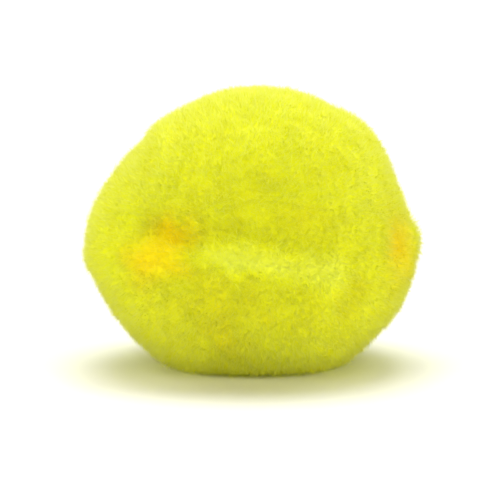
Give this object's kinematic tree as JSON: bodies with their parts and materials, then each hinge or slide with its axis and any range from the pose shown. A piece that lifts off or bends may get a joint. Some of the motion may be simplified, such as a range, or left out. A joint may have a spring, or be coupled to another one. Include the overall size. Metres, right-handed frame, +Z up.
{
  "type": "yarn pom pom",
  "caption": "Lumpy ball of fuzzy cut yarn for trimming and crafts, drawn in by a tie crease round its middle.",
  "frame": {"origin": "middle of the flat spot that the ball stands on, at floor height", "axes": "+Z up, +X along the ball's longest side, to the right in the picture, -Y to the front, which faces the picture's camera"},
  "size_m": [0.051, 0.0482, 0.0421],
  "materials": {
    "lemon_yarn": "soft fuzzy cut yarn"
  },
  "bodies": {
    "root": {"yarn_pile": "lemon_yarn"}
  },
  "joints": []
}
